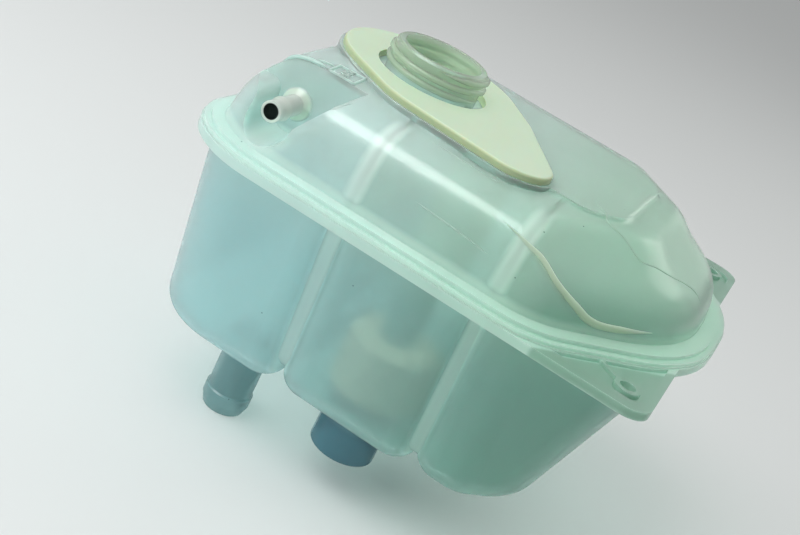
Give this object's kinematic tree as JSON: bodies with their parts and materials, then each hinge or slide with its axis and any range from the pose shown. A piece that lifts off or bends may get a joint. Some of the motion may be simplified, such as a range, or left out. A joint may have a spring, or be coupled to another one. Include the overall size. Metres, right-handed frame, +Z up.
{
  "type": "coolant expansion tank",
  "caption": "Translucent welded coolant expansion tank with a filler neck, bleed nipple, hose stub, bracket ears and a level-sensor socket whose float slides on a well inside.",
  "frame": {"origin": "midway between the two bracket holes, on the underside of the ears", "axes": "+Z up, out of the filler neck; +X towards the bracket end; -Y is the front with the nipple and both bottom stubs"},
  "size_m": [0.22, 0.205, 0.1757],
  "materials": {
    "natural_polypropylene": "milky translucent moulding, satin",
    "cream_plastic": "opaque cream moulding, satin",
    "float_foam": "cream closed-cell foam",
    "ferrite": "sintered dark grey"
  },
  "bodies": {
    "tank": {"upper_shell": "natural_polypropylene", "lower_shell": "natural_polypropylene", "neck_collar": "cream_plastic"},
    "float": {"level_float": "float_foam", "float_magnet": "ferrite"}
  },
  "joints": [
    {"name": "float_slide", "type": "slide", "parent": "tank", "child": "float", "axis": [0, 0, 1], "range_m": [0, 0.034]}
  ]
}
